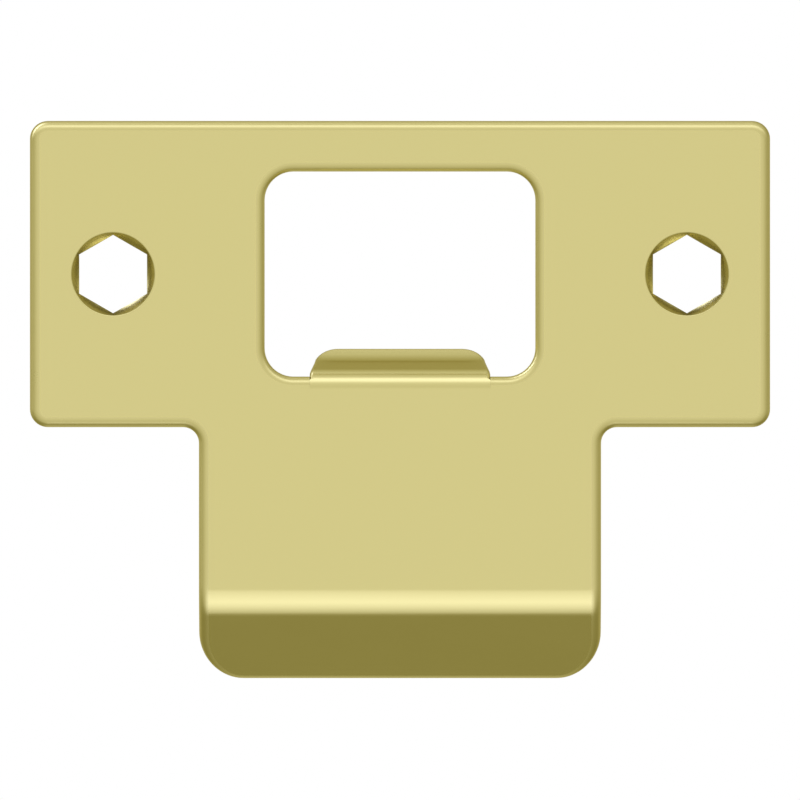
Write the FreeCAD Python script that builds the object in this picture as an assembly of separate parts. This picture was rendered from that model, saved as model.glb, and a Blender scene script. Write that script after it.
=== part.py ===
import FreeCAD, Part
import math
import os

from FreeCAD import Vector

# A T-shaped door strike plate, stamped and bent from one piece of brass sheet.
# Lengths are in millimetres and angles in degrees.
# The plate stands in the XZ plane, with X along its length and its lip pointing down.
# Its back lies on Y = 0 and its front faces -Y. The origin is on the back face,
# midway between the two screw holes.

# The flat plate, and the rounding along the front edges of plate and lip
sheet_thickness = 1.6
plate_width = 69.85
plate_height = 28.9
plate_corner_radius = 1.7
front_edge_radius = 0.9

# The lip, whose reach runs from the line of the screw holes down to its lowest edge.
# Its corner radius is the one seen from the front.
lip_width = 37.95
lip_reach = 38.2
lip_root_radius = 1.5
lip_bend_drop = 29.4
lip_bend_angle = 45.0
lip_bend_radius = 4.2
lip_corner_radius = 4.15

# The opening for the latch bolt
opening_width = 25.55
opening_height = 19.35
opening_corner_radius = 2.7
opening_edge_radius = 0.8

# The tab that is left in the lower side of the opening and cranked back and up.
# It starts to bend a setback below the opening's edge. Its angles are measured
# from the plate, and its bend radii are those of its front surface.
tab_width = 17.05
tab_tip_width = 15.6
tab_taper_angle = 7.0
tab_corner_radius = 2.2
tab_edge_radius = 0.35
tab_setback = 1.2
tab_root_angle = 75.0
tab_root_radius = 2.0
tab_shank_length = 2.8
tab_crank_radius = 4.0
tab_tip_angle = 50.0
tab_tip_length = 0.8

# The screw holes: a hexagonal throat under a round countersunk mouth
screw_end_distance = 7.85
throat_across_flats = 6.4
countersink_diameter = 7.8
countersink_angle = 82.0
countersink_rim_radius = 0.4

# How far a cutting shape runs past what it cuts, and when two places count as one
overrun = 1.0
same_place = 0.001

screw_spacing = plate_width - 2 * screw_end_distance
origin = Vector(0, 0, 0)
across = Vector(1, 0, 0)
through = Vector(0, 1, 0)


class BentStrip:
    # The side view of a strip that leaves the flat plate and bends back from it.
    # It runs down from its start where side is -1, and up where side is 1.

    def __init__(self, start_height, side):
        self.side = side
        self.angle = 0.0
        self.length = 0.0
        self.end = Vector(0, -sheet_thickness, start_height)
        self.front_edges = []
        self.back_edges = []

    def normal(self, angle):
        turn = math.radians(angle)
        return Vector(0, -math.cos(turn), self.side * math.sin(turn))

    def along(self, angle):
        turn = math.radians(angle)
        return Vector(0, math.sin(turn), self.side * math.cos(turn))

    def run_straight(self, length):
        reached = self.end + self.along(self.angle) * length
        to_back = self.normal(self.angle) * -sheet_thickness
        self.front_edges.append(Part.LineSegment(self.end, reached).toShape())
        self.back_edges.append(Part.LineSegment(self.end + to_back, reached + to_back).toShape())
        self.end = reached
        self.length += length

    def bend_to(self, angle, front_radius):
        # The radius is negative where the sheet bends forwards, towards its front
        radius = math.copysign(front_radius, angle - self.angle)
        centre = self.end - self.normal(self.angle) * radius
        stations = (self.angle, (self.angle + angle) / 2, angle)
        front = [centre + self.normal(station) * radius for station in stations]
        back = [centre + self.normal(station) * (radius - sheet_thickness) for station in stations]
        self.front_edges.append(Part.Arc(*front).toShape())
        self.back_edges.append(Part.Arc(*back).toShape())
        self.length += radius * math.radians(angle - self.angle)
        self.end = front[-1]
        self.angle = angle

    def solid(self, width):
        front_start = self.front_edges[0].firstVertex().Point
        back_start = self.back_edges[0].firstVertex().Point
        back_end = self.back_edges[-1].lastVertex().Point
        edges = self.front_edges + [Part.LineSegment(self.end, back_end).toShape()]
        edges = edges + self.back_edges[::-1] + [Part.LineSegment(back_start, front_start).toShape()]
        face = Part.Face(Part.Wire(edges))
        face.translate(across * (-width / 2))
        return face.extrude(across * width)

    def end_punch(self, outline):
        # A prism square to the last flat of the strip. The outline is drawn in XY,
        # with the end of the strip along Y = 0 and the strip itself at Y > 0.
        reach = self.normal(self.angle) * (self.length + sheet_thickness)
        face = Part.Face(outline)
        face.rotate(origin, across, -self.side * (90 + self.angle))
        face.translate(self.end - reach)
        return face.extrude(reach * 2)


def sheet_block(half_width, low, high):
    # A block of the flat sheet, from its front face to its back face
    corner = Vector(-half_width, -sheet_thickness, low)
    return Part.makeBox(2 * half_width, sheet_thickness, high - low, corner)


def punch_block(points):
    # A prism that runs right through the flat sheet, from an outline of (x, z) points
    corners = [Vector(x, -sheet_thickness - overrun, z) for x, z in points]
    face = Part.Face(Part.makePolygon(corners + corners[:1]))
    return face.extrude(through * (sheet_thickness + 2 * overrun))


def rectangle(half_width, low, high):
    return [(-half_width, low), (half_width, low), (half_width, high), (-half_width, high)]


def edges_along(solid, direction, points):
    # The straight edges that run in one direction through any of the points
    found = []
    for edge in solid.Edges:
        if isinstance(edge.Curve, Part.Line) and abs(edge.Curve.Direction.dot(direction)) > 0.999:
            start = edge.firstVertex().Point
            if any(point.distanceToLine(start, direction) < same_place for point in points):
                found.append(edge)
    return found


def round_corners(solid, radius, points):
    # Rounds the edges that run through the flat sheet at the given (x, z) points
    corners = [Vector(x, 0, z) for x, z in points]
    return solid.makeFillet(radius, edges_along(solid, through, corners))


def front_faces(solid):
    # The faces that belong to the front of the sheet, flat or bent
    found = []
    for face in solid.Faces:
        low_u, high_u, low_v, high_v = face.ParameterRange
        if face.normalAt((low_u + high_u) / 2, (low_v + high_v) / 2).y < -0.1:
            found.append(face)
    return found


def front_outline(solid):
    # The edges around the front, leaving out those between two front faces
    edges = [edge for face in front_faces(solid) for edge in face.Edges]
    return [edge for edge in edges if sum(edge.isSame(other) for other in edges) == 1]


def round_rim(solid, radius, x):
    # Rounds the front rim of the hole whose middle is at x on the line of the screw holes
    flat = max(front_faces(solid), key=lambda face: face.Area)
    middle = Vector(x, -sheet_thickness, 0)
    rims = [wire for wire in flat.Wires if wire.BoundBox.Center.distanceToPoint(middle) < same_place]
    return solid.makeFillet(radius, [edge for rim in rims for edge in rim.Edges])


def lip_outline(far):
    # The corners are round as seen from the front, so on the slanting end they are
    # elliptical, and longer along the sheet than across it
    half = lip_width / 2
    inner = half - lip_corner_radius
    along_sheet = lip_corner_radius / math.cos(math.radians(lip_bend_angle))
    edges = [Part.LineSegment(Vector(-inner, 0, 0), Vector(inner, 0, 0)).toShape()]
    for side in (1, -1):
        centre = Vector(side * inner, along_sheet, 0)
        top = Vector(side * inner, 2 * along_sheet, 0)
        outside = Vector(side * half, along_sheet, 0)
        corner = Part.ArcOfEllipse(Part.Ellipse(top, outside, centre), math.pi / 2, math.pi)
        edges.append(corner.toShape())
        edges.append(Part.LineSegment(outside, Vector(side * half, far, 0)).toShape())
    edges.append(Part.LineSegment(Vector(half, far, 0), Vector(-half, far, 0)).toShape())
    return Part.Wire(Part.sortEdges(edges)[0])


def make_lip():
    angle = math.radians(lip_bend_angle)
    strip = BentStrip(0.0, -1)
    strip.run_straight(lip_bend_drop)
    strip.bend_to(lip_bend_angle, lip_bend_radius)
    # The rounded lower edge reaches less far than the sharp corner it replaces
    rounding = front_edge_radius * (math.sin(angle) + math.cos(angle) - 1)
    drop_left = lip_reach + rounding + strip.end.z
    strip.run_straight(drop_left / math.cos(angle))
    punch = strip.end_punch(lip_outline(strip.length + overrun))
    return strip.solid(lip_width).common(punch)


def make_plate():
    half_width = plate_width / 2
    half_height = plate_height / 2
    flat = sheet_block(half_width, -half_height, half_height)
    flat = round_corners(flat, plate_corner_radius, rectangle(half_width, -half_height, half_height))
    blank = flat.fuse(make_lip()).removeSplitter()
    roots = [(-lip_width / 2, -half_height), (lip_width / 2, -half_height)]
    blank = round_corners(blank, lip_root_radius, roots)
    return blank.makeFillet(front_edge_radius, front_outline(blank))


def cut_opening(plate):
    corners = rectangle(opening_width / 2, -opening_height / 2, opening_height / 2)
    punch = round_corners(punch_block(corners), opening_corner_radius, corners)
    return round_rim(plate.cut(punch), opening_edge_radius, 0)


def tab_outline(far):
    # The tab widens from its tip at the taper angle until it has its full width
    tip = tab_tip_width / 2
    root = tab_width / 2
    taper_end = (root - tip) / math.tan(math.radians(tab_taper_angle))
    points = [(-tip, 0), (tip, 0), (root, taper_end), (root, far), (-root, far), (-root, taper_end)]
    corners = [Vector(x, y, 0) for x, y in points]
    return Part.makePolygon(corners + corners[:1])


def add_tab(plate):
    opening_bottom = -opening_height / 2
    bend_start = opening_bottom - tab_setback
    strip = BentStrip(bend_start, 1)
    strip.bend_to(tab_root_angle, tab_root_radius)
    strip.run_straight(tab_shank_length)
    strip.bend_to(tab_tip_angle, tab_crank_radius)
    strip.run_straight(tab_tip_length)
    square_tab = strip.solid(tab_width)

    punch = strip.end_punch(tab_outline(strip.length + overrun))
    tips = [strip.end + across * (side * tab_tip_width / 2) for side in (-1, 1)]
    punch = punch.makeFillet(tab_corner_radius, edges_along(punch, strip.normal(strip.angle), tips))
    tab = square_tab.common(punch)
    free_edges = [edge for edge in front_outline(tab) if edge.CenterOfMass.z > bend_start + same_place]
    tab = tab.makeFillet(tab_edge_radius, free_edges)

    # Below the opening's edge the tab is still part of the plate, with square sides
    slot = punch_block(rectangle(tab_width / 2, bend_start, opening_bottom + overrun))
    root = square_tab.common(sheet_block(tab_width, bend_start, opening_bottom))
    return plate.cut(slot).fuse([tab, root]).removeSplitter()


def cut_screw_hole(plate, x):
    corner_radius = throat_across_flats / 2 / math.cos(math.radians(30))
    turns = [math.radians(90 + 60 * corner) for corner in range(6)]
    throat = [(x + corner_radius * math.cos(turn), corner_radius * math.sin(turn)) for turn in turns]
    mouth_radius = countersink_diameter / 2
    back_radius = mouth_radius - sheet_thickness * math.tan(math.radians(countersink_angle / 2))
    mouth = Vector(x, -sheet_thickness, 0)
    countersink = Part.makeCone(mouth_radius, back_radius, sheet_thickness, mouth, through)
    cut = plate.cut(punch_block(throat)).cut(countersink)
    return round_rim(cut, countersink_rim_radius, x)


strike_plate = add_tab(cut_opening(make_plate()))
for hole_side in (-1, 1):
    strike_plate = cut_screw_hole(strike_plate, hole_side * screw_spacing / 2)

os.makedirs("parts", exist_ok=True)
strike_plate.exportStep("parts/strike_plate.step")
print("solids", len(strike_plate.Solids), "valid", strike_plate.isValid())
print("volume", round(strike_plate.Volume, 2))
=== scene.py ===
import bmesh
import bpy
import math
from mathutils import Color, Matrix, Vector


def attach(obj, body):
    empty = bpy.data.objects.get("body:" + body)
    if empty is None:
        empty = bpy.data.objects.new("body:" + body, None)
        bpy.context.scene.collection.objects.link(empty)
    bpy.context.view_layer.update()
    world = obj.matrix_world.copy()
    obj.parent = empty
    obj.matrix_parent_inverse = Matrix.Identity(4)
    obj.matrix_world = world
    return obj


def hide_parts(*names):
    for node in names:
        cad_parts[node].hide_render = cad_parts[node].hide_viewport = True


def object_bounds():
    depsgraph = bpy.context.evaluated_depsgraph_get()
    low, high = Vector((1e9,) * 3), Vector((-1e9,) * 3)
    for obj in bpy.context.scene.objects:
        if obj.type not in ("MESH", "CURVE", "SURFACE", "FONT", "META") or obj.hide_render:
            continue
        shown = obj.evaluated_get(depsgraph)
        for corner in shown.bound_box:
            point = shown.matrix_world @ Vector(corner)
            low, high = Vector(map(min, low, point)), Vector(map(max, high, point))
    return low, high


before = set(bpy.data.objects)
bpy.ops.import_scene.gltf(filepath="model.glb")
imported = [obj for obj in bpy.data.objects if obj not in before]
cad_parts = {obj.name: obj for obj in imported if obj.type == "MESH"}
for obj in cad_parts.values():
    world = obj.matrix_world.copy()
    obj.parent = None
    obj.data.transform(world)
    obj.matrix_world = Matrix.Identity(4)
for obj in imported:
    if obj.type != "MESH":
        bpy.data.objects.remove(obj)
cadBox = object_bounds()
print("frame loaded")

metre = 1000  # in millimetres, the unit of the strike's dictionaries and grain


class Shade:
    # one socket of a shader tree, with arithmetic that adds Math nodes

    def __init__(self, tree, socket):
        self.tree = tree
        self.socket = socket

    def also(self, name):
        # another output of the same node
        return Shade(self.tree, self.socket.node.outputs[name])

    def math(self, operation, *values):
        return addNode(self.tree, "ShaderNodeMath", {"operation": operation}, dict(enumerate(values)))

    def __add__(self, other):
        return self.math("ADD", self, other)

    def __radd__(self, other):
        return self.math("ADD", other, self)

    def __sub__(self, other):
        return self.math("SUBTRACT", self, other)

    def __rsub__(self, other):
        return self.math("SUBTRACT", other, self)

    def __mul__(self, other):
        return self.math("MULTIPLY", self, other)

    def __rmul__(self, other):
        return self.math("MULTIPLY", other, self)

    def __truediv__(self, other):
        return self.math("DIVIDE", self, other)

    def __rtruediv__(self, other):
        return self.math("DIVIDE", other, self)

    def __abs__(self):
        return self.math("ABSOLUTE", self)


def addNode(tree, kind, settings, sockets, output=0):
    # settings go on the node first, then its sockets get their values or links
    node = tree.nodes.new(kind)
    for name, value in settings.items():
        if name == "stops":
            setStops(node.color_ramp, value)
        else:
            setattr(node, name, value)
    for name, value in sockets.items():
        if isinstance(value, Shade):
            tree.links.new(value.socket, node.inputs[name])
        else:
            node.inputs[name].default_value = value
    return None if output is None else Shade(tree, node.outputs[output])


def setStops(ramp, stops):
    while len(ramp.elements) > 1:
        ramp.elements.remove(ramp.elements[-1])
    for index, (place, colour) in enumerate(stops):
        stop = ramp.elements[0] if index == 0 else ramp.elements.new(place)
        stop.position = place
        stop.color = (*colour, 1)


def emptyTree(owner):
    owner.use_nodes = True
    owner.node_tree.nodes.clear()
    return owner.node_tree


# camera

view = {
    "pixelsPerMetre": 10600,  # scale of the photograph on the plate's front face
    "imageSize": 800,
    "holeLineRow": 274,  # the screw holes' row in the photograph
    "distance": 2.4,
    "farthest": 20,
    "sensor": 36,
}


def makeCamera():
    width = view["imageSize"] / view["pixelsPerMetre"]
    middleHeight = (view["holeLineRow"] - view["imageSize"] / 2) / view["pixelsPerMetre"]
    frontFace = cadBox[0].y
    data = bpy.data.cameras.new("camera")
    data.sensor_width = view["sensor"]
    data.lens = view["sensor"] * view["distance"] / width
    data.clip_end = view["farthest"]
    camera = bpy.data.objects.new("camera", data)
    camera.location = (0, frontFace - view["distance"], middleHeight)
    camera.rotation_euler = (math.radians(90), 0, 0)
    bpy.context.scene.collection.objects.link(camera)
    bpy.context.scene.camera = camera


makeCamera()
bpy.context.scene.view_settings.view_transform = "Standard"
print("camera placed")


# brass: one metal in three finishes, the one in the screw holes also darkened as painted shade

brass = {
    "colour": (0.651, 0.584, 0.246),
    "edgeTint": (0.72, 0.66, 0.42, 1),  # what is left of the gloss at grazing angles
    "grainDetail": 3,
    "cloudDetail": 2,
}

rolled = {
    "tone": 1,
    "roughness": 0.17,
    "grain": (0.25, 12, 12),  # to a millimetre, along X, Y and Z
    "grainTone": 0.02,
    "grainRoughness": 0.04,
    "grainDepth": 0.0000015,
    "cloud": 0.11,  # to a millimetre
    "cloudTone": 0.02,
    "cloudRoughness": 0.05,
}

cut = {
    "tone": 1,
    "roughness": 0.3,
    "grain": (9, 0.8, 9),
    "grainTone": 0.03,
    "grainRoughness": 0.08,
    "grainDepth": 0.000003,
    "cloud": 0.3,
    "cloudTone": 0.03,
    "cloudRoughness": 0.08,
}

sunk = {  # the screw holes' finish, with a lower tone that is painted shade in the recess
    "tone": 0.82,
    "roughness": 0.16,
    "grain": (9, 0.8, 9),
    "grainTone": 0.03,
    "grainRoughness": 0.04,
    "grainDepth": 0.0000015,
    "cloud": 0.3,
    "cloudTone": 0.03,
    "cloudRoughness": 0.04,
}


def makeBrass(name, finish):
    material = bpy.data.materials.new(name)
    tree = emptyTree(material)

    def scaled(vector, factor):
        scale = {"operation": "SCALE"}
        return addNode(tree, "ShaderNodeVectorMath", scale, {"Vector": vector, "Scale": factor})

    def noise(place, scale, detail):
        sockets = {"Vector": place, "Scale": scale, "Detail": detail}
        return addNode(tree, "ShaderNodeTexNoise", {}, sockets)

    place = scaled(addNode(tree, "ShaderNodeTexCoord", {}, {}, "Object"), metre)
    stretched = addNode(tree, "ShaderNodeMapping", {}, {"Vector": place, "Scale": finish["grain"]})
    grain = noise(stretched, 1, brass["grainDetail"])
    cloud = noise(place, finish["cloud"], brass["cloudDetail"])

    def varied(value, grainShare, cloudShare):
        # both patterns swing about a half
        return value + (grain - 0.5) * grainShare + (cloud - 0.5) * cloudShare

    tone = varied(finish["tone"], finish["grainTone"], finish["cloudTone"])
    roughness = varied(finish["roughness"], finish["grainRoughness"], finish["cloudRoughness"])
    bump = addNode(tree, "ShaderNodeBump", {}, {"Height": grain, "Distance": finish["grainDepth"]})
    shader = addNode(tree, "ShaderNodeBsdfPrincipled", {}, {
        "Base Color": scaled(brass["colour"], tone),
        "Metallic": 1,
        "Roughness": roughness,
        "Specular Tint": brass["edgeTint"],
        "Normal": bump,
    })
    addNode(tree, "ShaderNodeOutputMaterial", {}, {"Surface": shader}, output=None)
    return material


rolledBrass = makeBrass("rolledBrass", rolled)
cutBrass = makeBrass("cutBrass", cut)
# the screw holes' brass, its base colour darkened as painted shade
sunkShadedBrass = makeBrass("sunkShadedBrass", sunk)
print("brass mixed")


# light: a soft tent, painted in display steps lighter or darker than the plain brass

tent = {
    "brightest": 8,  # strength where a ramp's colour is 1
    "steps": 200,  # the scale runs this far both ways
    "markEvery": 20,  # a ramp holds 32 marks at most
    "displaySteps": 255,  # from black to white
    # angle around the X axis: 0 is in front, 90 overhead, 180 behind, -90 straight below
    "round": [
        (-180, 0), (-165, -5), (-142, -14), (-118, -24), (-104, -40), (-96, -66), (-90, -78),
        (-84, -68), (-76, -42), (-64, -24), (-50, -16), (-37, -12), (-25, -6), (-12, 1),
        (0, 4), (13, -8), (25, -4), (36, 4), (43, 38), (50, 56), (61, 54), (68, 4),
        (78, -16), (92, -16), (108, -20), (128, -34), (148, -48), (168, -12), (180, 0),
    ],
    # distance towards either side, 1 is straight to the side
    "across": [(0, 0), (0.4, -8), (0.6, -13), (0.77, -23), (0.9, -34), (1, -46)],
    "behind": 20,  # how much darker it is towards the back of both sides
    "behindBelow": 400,  # and more so low down
    "patch": 520,  # light from the upper left
    "patchDepth": 0.14,  # just behind the plate's plane
    "patchWidth": 0.25,
    "onFloor": 0.55,  # the tent's share of the light on the floor
}


def tentColour(step):
    # the light that shows the brass so many steps away from its plain tone
    plain = Color(brass["colour"])
    shown = [max(part + step / tent["displaySteps"], 0) for part in plain.from_scene_linear_to_srgb()]
    light = Color(shown).from_srgb_to_scene_linear()
    return [part / own / tent["brightest"] for part, own in zip(light, plain)]


def makeWorld():
    world = bpy.data.worlds.new("tent")
    bpy.context.scene.world = world
    tree = emptyTree(world)
    direction = addNode(tree, "ShaderNodeTexCoord", {}, {}, "Generated")
    x = addNode(tree, "ShaderNodeSeparateXYZ", {}, {"Vector": direction}, "X")
    y = x.also("Y")
    z = x.also("Z")

    def positive(value):
        return value.math("MAXIMUM", value, 0)

    def onScale(step):
        # a ramp's 0 to 1 holds the whole scale of steps, with the plain tone in its middle
        return 0.5 + step / (2 * tent["steps"])

    def ramp(place, stops):
        return addNode(tree, "ShaderNodeValToRGB", {"stops": stops}, {"Fac": place})

    def greyRamp(place, stops):
        return ramp(place, [(at, [onScale(step)] * 3) for at, step in stops]) - 0.5

    turn = x.math("ARCTAN2", z, 0 - y) / (2 * math.pi) + 0.5
    around = greyRamp(turn, [(0.5 + angle / 360, step) for angle, step in tent["round"]])
    across = greyRamp(abs(x), tent["across"])
    upright = positive(1 - x * x)
    inside = upright.math("SQRT", upright)
    below = positive(0 - z)
    behind = abs(x) * positive(y) * (tent["behind"] + below * below * tent["behindBelow"])
    beside = positive(1 - abs(y - tent["patchDepth"]) / tent["patchWidth"])
    patch = positive(0 - x) * positive(z) * beside * tent["patch"]
    step = around * inside + across + (patch - behind) / (2 * tent["steps"]) + 0.5
    marks = range(-tent["steps"], tent["steps"] + 1, tent["markEvery"])
    colour = ramp(step, [(onScale(mark), tentColour(mark)) for mark in marks])

    # the camera and clear things see plain white
    toCamera = addNode(tree, "ShaderNodeLightPath", {}, {}, "Is Camera Ray")
    through = toCamera.also("Is Transmission Ray")
    toFloor = toCamera.also("Is Diffuse Ray")
    strength = tent["brightest"] * (1 - toFloor * (1 - tent["onFloor"]))
    light = addNode(tree, "ShaderNodeBackground", {}, {"Color": colour, "Strength": strength})
    white = addNode(tree, "ShaderNodeBackground", {}, {"Color": (1, 1, 1, 1), "Strength": 1})
    shown = addNode(tree, "ShaderNodeMixShader", {}, {0: toCamera + through, 1: light, 2: white})
    addNode(tree, "ShaderNodeOutputWorld", {}, {"Surface": shown}, output=None)


makeWorld()


# lamps: a soft one that lights the floor alone, for the strike's shadow,
# and a small gridded strip close in front of the lip's bend

softLight = {
    "size": (0.6, 0.6),
    "place": (-0.5, -0.8, 0.9),
    "aim": (0, 0, 0),
    "spread": 180,
    "power": 12.5,
    "colour": (1, 1, 1),
    "onMetal": False,
}

stripLight = {
    "size": (0.07, 0.014),
    "place": (0, -0.0075, -0.0373),
    "aim": (0, -0.001, -0.031),
    "spread": 80,
    "power": 0.00058,
    "colour": (0.63, 0.66, 1),
    "onMetal": True,
}


def makeLamp(name, settings):
    data = bpy.data.lights.new(name, "AREA")
    data.shape = "RECTANGLE"
    data.size, data.size_y = settings["size"]
    data.spread = math.radians(settings["spread"])
    data.energy = settings["power"]
    data.color = settings["colour"]
    lamp = bpy.data.objects.new(name, data)
    lamp.location = settings["place"]
    beam = Vector(settings["aim"]) - Vector(settings["place"])
    lamp.rotation_euler = beam.to_track_quat("-Z", "Y").to_euler()
    lamp.visible_camera = False
    lamp.visible_glossy = settings["onMetal"]
    bpy.context.scene.collection.objects.link(lamp)


makeLamp("softLight", softLight)
makeLamp("stripLight", stripLight)
print("light set")


# floor: far enough below to stay out of the photograph's frame

ground = {
    "size": 0.66,
    "height": -0.056,
    "colour": (0.9, 0.9, 0.88, 1),
    "glow": 0.05,  # brings the lit floor up to the backdrop's white
}


def makeFloor():
    material = bpy.data.materials.new("floor")
    tree = emptyTree(material)
    matt = addNode(tree, "ShaderNodeBsdfDiffuse", {}, {"Color": ground["colour"]})
    toCamera = addNode(tree, "ShaderNodeLightPath", {}, {}, "Is Camera Ray")
    glow = addNode(tree, "ShaderNodeEmission", {}, {"Strength": toCamera * ground["glow"]})
    lit = addNode(tree, "ShaderNodeAddShader", {}, {0: matt, 1: glow})
    # seen from underneath it is clear
    beneath = addNode(tree, "ShaderNodeNewGeometry", {}, {}, "Backfacing")
    clear = addNode(tree, "ShaderNodeBsdfTransparent", {}, {})
    shown = addNode(tree, "ShaderNodeMixShader", {}, {0: beneath, 1: lit, 2: clear})
    addNode(tree, "ShaderNodeOutputMaterial", {}, {"Surface": shown}, output=None)
    bpy.ops.object.select_all(action="DESELECT")
    bpy.ops.mesh.primitive_plane_add(size=ground["size"], location=(0, 0, ground["height"]))
    floor = bpy.context.object
    floor.name = "floor"
    floor.data.materials.append(material)
    floor.visible_glossy = False  # so that the metal shows the tent


makeFloor()
print("floor laid")


# the strike: one sheet, stamped and folded
# in its dictionaries, steps are the flats that make up a bend, corner or rounding

sheet = {
    "thickness": 1.6,
    "plateLength": 69.85,
    "plateHeight": 28.9,
    "plateCorner": 1.7,
    "plateCornerSteps": 10,
    "frontRounding": 0.9,  # along the front edges of the plate and lip
    "frontRoundingSteps": 8,
    "backRounding": 0.12,
    "backRoundingSteps": 2,
    "punchDepth": 6,  # enough to go right through
    "flatBelow": 0.5,  # faces that turn by fewer degrees are one flat
    "smoothBelow": 32,  # edges that turn by fewer degrees are shaded soft
    "tolerance": 0.001,
}

rolledFinish, cutFinish, sunkShadedFinish = 0, 1, 2  # places of the materials on the piece; the third is darkened as painted shade
origin = Vector((0, 0, 0))
right = Vector((1, 0, 0))
back = Vector((0, 1, 0))
up = Vector((0, 0, 1))


def selectOnly(*pieces):
    # the last of them becomes the active one
    bpy.ops.object.select_all(action="DESELECT")
    for piece in pieces:
        piece.select_set(True)
    bpy.context.view_layer.objects.active = pieces[-1]


def editMode():
    bpy.ops.object.mode_set(mode="EDIT")


def objectMode():
    bpy.ops.object.mode_set(mode="OBJECT")


def pick(kind, wanted):
    # selects only the vertices, edges or faces that pass the test
    bpy.ops.mesh.select_mode(type=kind)
    bpy.ops.mesh.select_all(action="DESELECT")
    data = bpy.context.edit_object.data
    mesh = bmesh.from_edit_mesh(data)
    for part in {"VERT": mesh.verts, "EDGE": mesh.edges, "FACE": mesh.faces}[kind]:
        if wanted(part):
            part.select_set(True)
    bmesh.update_edit_mesh(data)


def pickAll():
    bpy.ops.mesh.select_all(action="SELECT")


def middle(part):
    return sum((corner.co for corner in part.verts), Vector()) / len(part.verts)


def near(value, other):
    return abs(value - other) < sheet["tolerance"]


def looks(face, direction, atLeast=0.5):
    # how squarely a face looks in a direction is 1 at most
    return face.normal.dot(direction) > atLeast


def runsAlong(edge, direction):
    run = (edge.verts[1].co - edge.verts[0].co).normalized()
    return near(abs(run.dot(direction)), 1)


def borders(edge, isSurface):
    # true for an edge of a surface, with another kind of face on its far side
    sides = [isSurface(face) for face in edge.link_faces]
    return any(sides) and not all(sides)


def bevel(width, steps, **options):
    bpy.ops.mesh.bevel(offset=width, segments=steps, **options)


def roundOff(radius, turn, steps, **options):
    # rounds edges at which the surface turns by so many degrees
    bevel(radius * math.tan(math.radians(turn / 2)), steps, **options)


def finishAs(number):
    # gives the picked faces one of the piece's materials
    bpy.context.object.active_material_index = number
    bpy.ops.object.material_slot_assign()


def extrude(direction, length):
    bpy.ops.mesh.extrude_region_move(TRANSFORM_OT_translate={"value": direction * length})


def bend(angle, steps, axis):
    bpy.ops.mesh.spin(steps=steps, angle=math.radians(angle), center=axis, axis=right)


def mergeFlats():
    pickAll()
    bpy.ops.mesh.dissolve_limited(angle_limit=math.radians(sheet["flatBelow"]))


def makeBlock(location, size):
    bpy.ops.object.select_all(action="DESELECT")
    bpy.ops.mesh.primitive_cube_add(size=1, location=location, scale=size)
    bpy.ops.object.transform_apply()
    return bpy.context.object


def giveFinishes(piece):
    for material in (rolledBrass, cutBrass, sunkShadedBrass):
        piece.data.materials.append(material)


def punch(target, cutter, operation="DIFFERENCE", finish=cutFinish):
    # the surfaces that the punch leaves get the given finish
    for face in cutter.data.polygons:
        face.material_index = finish
    selectOnly(target)
    bpy.ops.object.modifier_add(type="BOOLEAN")
    modifier = target.modifiers[-1]
    modifier.operation = operation
    modifier.solver = "EXACT"
    modifier.object = cutter
    bpy.ops.object.modifier_apply(modifier=modifier.name)
    bpy.data.objects.remove(cutter)


def stripDirections(angle, side):
    # out of the front, and on along a strip that is bent back by the angle
    # while it runs down (side -1) or up (side 1)
    turn = math.radians(angle)
    out = Vector((0, -math.cos(turn), side * math.sin(turn)))
    along = Vector((0, math.sin(turn), side * math.cos(turn)))
    return out, along


lip = {
    "width": 37.95,
    "reach": 38.2,  # from the line of the screw holes to the lip's lowest edge
    "rootRadius": 1.5,
    "rootSteps": 10,
    "bendDrop": 29.4,  # from that line to where the bend begins
    "bendAngle": 45,
    "bendRadius": 4.2,
    "bendSteps": 24,
    "corner": 4.15,  # as seen from the front
    "cornerSteps": 16,
}


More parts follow.
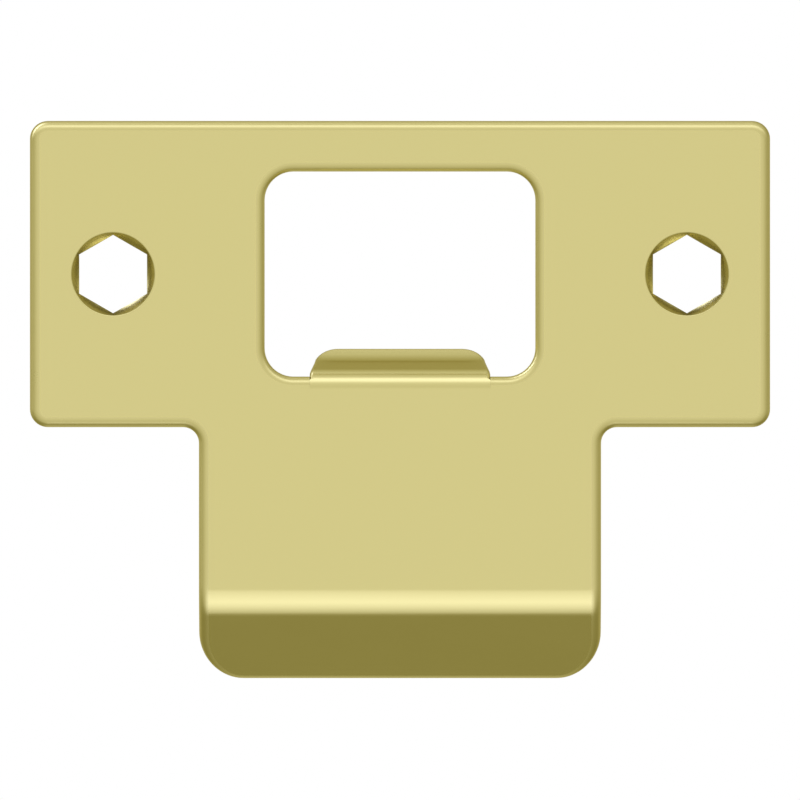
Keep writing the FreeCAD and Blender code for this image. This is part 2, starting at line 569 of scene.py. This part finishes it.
def makeSheet():
    half = lip["width"] / 2
    thick = sheet["thickness"]
    piece = makeBlock((0, -thick / 2, 0), (sheet["plateLength"], thick, sheet["plateHeight"]))
    giveFinishes(piece)
    editMode()
    for side in (-half, half):
        pickAll()
        bpy.ops.mesh.bisect(plane_co=(side, 0, 0), plane_no=right)

    # the lip runs down, round its bend and on at a slant,
    # where the stretch below brings it to its full length
    pick("FACE", lambda face: looks(face, -up) and abs(middle(face).x) < half)
    extrude(-up, lip["bendDrop"] - sheet["plateHeight"] / 2)
    axis = Vector((0, lip["bendRadius"] - thick, -lip["bendDrop"]))
    bend(-lip["bendAngle"], lip["bendSteps"], axis)
    out, along = stripDirections(lip["bendAngle"], -1)
    bendEnd = axis + out * lip["bendRadius"]
    edgeLoss = sheet["frontRounding"] * (-out.y - out.z - 1)  # what rounding takes off the lowest edge
    extrude(along, lip["reach"] + edgeLoss + bendEnd.z)
    mergeFlats()

    def isFront(face):
        return looks(face, -back)

    def isBack(face):
        # the lip's end looks back as well, but down
        return looks(face, back) and not looks(face, -up)

    # corners and roots
    pick("FACE", lambda face: not isFront(face) and not isBack(face))
    finishAs(cutFinish)
    pick("EDGE", lambda edge: runsAlong(edge, back) and near(abs(middle(edge).x), sheet["plateLength"] / 2))
    bevel(sheet["plateCorner"], sheet["plateCornerSteps"])
    pick("EDGE", lambda edge: runsAlong(edge, back) and near(abs(middle(edge).x), half))
    bevel(lip["rootRadius"], lip["rootSteps"])
    pick("EDGE", lambda edge: runsAlong(edge, out) and middle(edge).z < bendEnd.z)
    bevel(lip["corner"], lip["cornerSteps"])

    # stretched along the slant, the lip's corners look round from the front
    turn = math.radians(lip["bendAngle"])
    pick("VERT", lambda vert: (vert.co - bendEnd).dot(along) > sheet["tolerance"])
    bpy.ops.transform.rotate(value=turn, orient_axis="X", center_override=bendEnd)
    bpy.ops.transform.resize(value=(1, 1, 1 / math.cos(turn)), center_override=bendEnd)
    bpy.ops.transform.rotate(value=-turn, orient_axis="X", center_override=bendEnd)

    pick("EDGE", lambda edge: borders(edge, isFront))
    bevel(sheet["frontRounding"], sheet["frontRoundingSteps"], material=cutFinish)
    pick("EDGE", lambda edge: borders(edge, isBack))
    bevel(sheet["backRounding"], sheet["backRoundingSteps"], material=cutFinish)
    objectMode()
    return piece


opening = {
    "width": 25.55,
    "height": 19.35,
    "corner": 2.7,
    "cornerSteps": 12,
    "rounding": 0.8,
    "roundingSteps": 8,
}


def cutOpening(piece):
    cutter = makeBlock(origin, (opening["width"], sheet["punchDepth"], opening["height"]))
    editMode()
    pick("EDGE", lambda edge: runsAlong(edge, back))
    bevel(opening["corner"], opening["cornerSteps"])
    objectMode()
    punch(piece, cutter)

    def onRim(edge, depth):
        place = middle(edge)
        outside = max(abs(place.x) - opening["width"] / 2, abs(place.z) - opening["height"] / 2)
        hasWall = any(near(face.normal.y, 0) for face in edge.link_faces)
        return outside < sheet["tolerance"] and near(place.y, depth) and hasWall

    editMode()
    pick("EDGE", lambda edge: onRim(edge, -sheet["thickness"]))
    bevel(opening["rounding"], opening["roundingSteps"], loop_slide=False, material=cutFinish)
    pick("EDGE", lambda edge: onRim(edge, 0))
    bevel(sheet["backRounding"], sheet["backRoundingSteps"], loop_slide=False, material=cutFinish)
    objectMode()


tab = {
    "width": 17.05,
    "tipWidth": 15.6,
    "taper": 7.3,
    "corner": 2.2,
    "cornerSteps": 10,
    "rounding": 0.35,
    "roundingSteps": 4,
    "roundedFrom": 1,  # so far above the place where the tab bends
    "setback": 1.2,  # from the opening's lower edge down to that place
    "slotHeight": 4,  # from that place up into the opening
    "relief": 0.005,  # lancing leaves the tab this little clear of its slot
    "rootAngle": 75,
    "rootRadius": 2.0,
    "rootSteps": 20,
    "shank": 2.8,
    "crankRadius": 4.0,
    "crankSteps": 8,
    "tipAngle": 50,
    "tipLength": 0.8,
    "punchLength": 12,  # more than the whole tab
}


def makeTab(start):
    # a strip that is bent back, runs straight and is cranked up again at its tip
    thick = sheet["thickness"]
    foot = Vector((0, -thick / 2, start))
    bpy.ops.object.select_all(action="DESELECT")
    bpy.ops.mesh.primitive_plane_add(size=1, location=foot)
    bpy.ops.object.transform_apply()
    strip = bpy.context.object
    giveFinishes(strip)
    editMode()
    pickAll()
    bpy.ops.transform.resize(value=(tab["width"], thick, 1), center_override=foot)
    axis = Vector((0, tab["rootRadius"] - thick, start))
    bend(tab["rootAngle"], tab["rootSteps"], axis)
    out, along = stripDirections(tab["rootAngle"], 1)
    extrude(along, tab["shank"])
    axis += out * (tab["rootRadius"] + tab["crankRadius"]) + along * tab["shank"]
    bend(tab["tipAngle"] - tab["rootAngle"], tab["crankSteps"], axis)
    out, along = stripDirections(tab["tipAngle"], 1)
    extrude(along, tab["tipLength"])
    tip = axis - out * tab["crankRadius"] + along * tab["tipLength"]
    pickAll()
    bpy.ops.mesh.normals_make_consistent(inside=False)
    pick("FACE", lambda face: near(abs(face.normal.x), 1) or near(face.normal.dot(along), 1))
    finishAs(cutFinish)
    objectMode()

    # its outline is punched square to the tip, tapered and with round corners
    length = tab["punchLength"]
    farWidth = tab["tipWidth"] + 2 * length * math.tan(math.radians(tab["taper"]))
    cutter = makeBlock((0, 0, -length / 2), (farWidth, length, length))
    editMode()
    pick("VERT", lambda vert: near(vert.co.z, 0))
    bpy.ops.transform.resize(value=(tab["tipWidth"] / farWidth, 1, 1), center_override=origin)
    pick("EDGE", lambda edge: runsAlong(edge, back) and near(middle(edge).z, 0))
    roundOff(tab["corner"], 90 - tab["taper"], tab["cornerSteps"])
    pickAll()
    bpy.ops.transform.rotate(value=math.radians(tab["tipAngle"]), orient_axis="X", center_override=origin)
    bpy.ops.transform.translate(value=tip)
    objectMode()
    punch(strip, cutter, "INTERSECT")

    # open at its foot, and a hair narrower than its slot
    editMode()
    pick("FACE", lambda face: near(middle(face).z, start))
    bpy.ops.mesh.delete(type="FACE")
    pick("VERT", lambda vert: not near(vert.co.z, start))
    bpy.ops.transform.resize(value=(1 - 2 * tab["relief"] / tab["width"], 1, 1), center_override=origin)
    mergeFlats()
    objectMode()
    return strip


def addTab(piece):
    start = -opening["height"] / 2 - tab["setback"]
    slotMiddle = (0, 0, start + tab["slotHeight"] / 2)
    punch(piece, makeBlock(slotMiddle, (tab["width"], sheet["punchDepth"], tab["slotHeight"])))
    editMode()
    pick("FACE", lambda face: looks(face, up) and near(middle(face).z, start))
    bpy.ops.mesh.delete(type="ONLY_FACE")
    objectMode()
    selectOnly(makeTab(start), piece)
    bpy.ops.object.join()

    def isFront(face):
        # the tab's shank leans far back
        return looks(face, -back, atLeast=0.2) and near(face.normal.x, 0)

    def onTab(edge):
        place = middle(edge)
        insideSlot = abs(place.x) < (tab["width"] - tab["relief"]) / 2
        return insideSlot and start + tab["roundedFrom"] < place.z < 0

    editMode()
    pickAll()
    bpy.ops.mesh.remove_doubles(threshold=sheet["tolerance"])
    pick("EDGE", lambda edge: onTab(edge) and borders(edge, isFront))
    bevel(tab["rounding"], tab["roundingSteps"], material=cutFinish)
    objectMode()


screwHole = {
    "spacing": 54.15,
    "mouth": 7.9,
    "mouthSteps": 96,
    "angle": 82,
    "rounding": 0.12,
    "roundingSteps": 5,
    "coneStart": 1,  # in front of the plate
    "coneDepth": 3,
    "acrossFlats": 6.4,
    "throatDepth": 8,
}


def cutScrewHole(piece, x):
    # a countersink, cut by a cone
    thick = sheet["thickness"]
    depth = screwHole["coneDepth"]
    radius = screwHole["mouth"] / 2
    slope = math.tan(math.radians(screwHole["angle"] / 2))
    farRadius = radius + screwHole["coneStart"] * slope
    bpy.ops.object.select_all(action="DESELECT")
    bpy.ops.mesh.primitive_cone_add(
        vertices=screwHole["mouthSteps"], radius1=farRadius, radius2=farRadius - depth * slope,
        depth=depth, location=(x, depth / 2 - screwHole["coneStart"] - thick, 0),
        rotation=(math.radians(-90), 0, 0))
    bpy.ops.object.transform_apply()
    # the countersink takes the darker brass, painted shade in the hole
    punch(piece, bpy.context.object, finish=sunkShadedFinish)
    mouth = Vector((x, -thick, 0))

    def onMouth(vert):
        return near(vert.co.y, -thick) and near((vert.co - mouth).length, radius)

    editMode()
    pick("EDGE", lambda edge: all(onMouth(vert) for vert in edge.verts))
    roundOff(screwHole["rounding"], 90 - screwHole["angle"] / 2, screwHole["roundingSteps"],
             loop_slide=False, material=cutFinish)
    objectMode()

    # the throat, a hexagon with its points up and down
    bpy.ops.object.select_all(action="DESELECT")
    bpy.ops.mesh.primitive_cylinder_add(
        vertices=6, radius=screwHole["acrossFlats"] / math.sqrt(3), depth=screwHole["throatDepth"],
        location=(x, 0, 0), rotation=(math.radians(90), 0, 0))
    bpy.ops.object.transform_apply()
    # the throat's walls take the same painted shade
    punch(piece, bpy.context.object, finish=sunkShadedFinish)


def finishPiece(piece, name):
    # from millimetres to metres, with soft shading over the roundings only
    selectOnly(piece)
    editMode()
    pickAll()
    bpy.ops.transform.resize(value=(1 / metre, 1 / metre, 1 / metre), center_override=origin)
    objectMode()
    bpy.ops.object.shade_smooth_by_angle(angle=math.radians(sheet["smoothBelow"]))
    bpy.ops.object.modifier_add(type="WEIGHTED_NORMAL")
    modifier = piece.modifiers[-1]
    modifier.keep_sharp = True
    modifier.weight = 100
    bpy.ops.object.modifier_apply(modifier=modifier.name)
    piece.name = name
    piece.data.name = name


strike = makeSheet()
cutOpening(strike)
addTab(strike)
for side in (-1, 1):
    cutScrewHole(strike, side * screwHole["spacing"] / 2)
finishPiece(strike, "brassStrike")
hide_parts("strike_plate")
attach(strike, "root")
print("strike modelled")
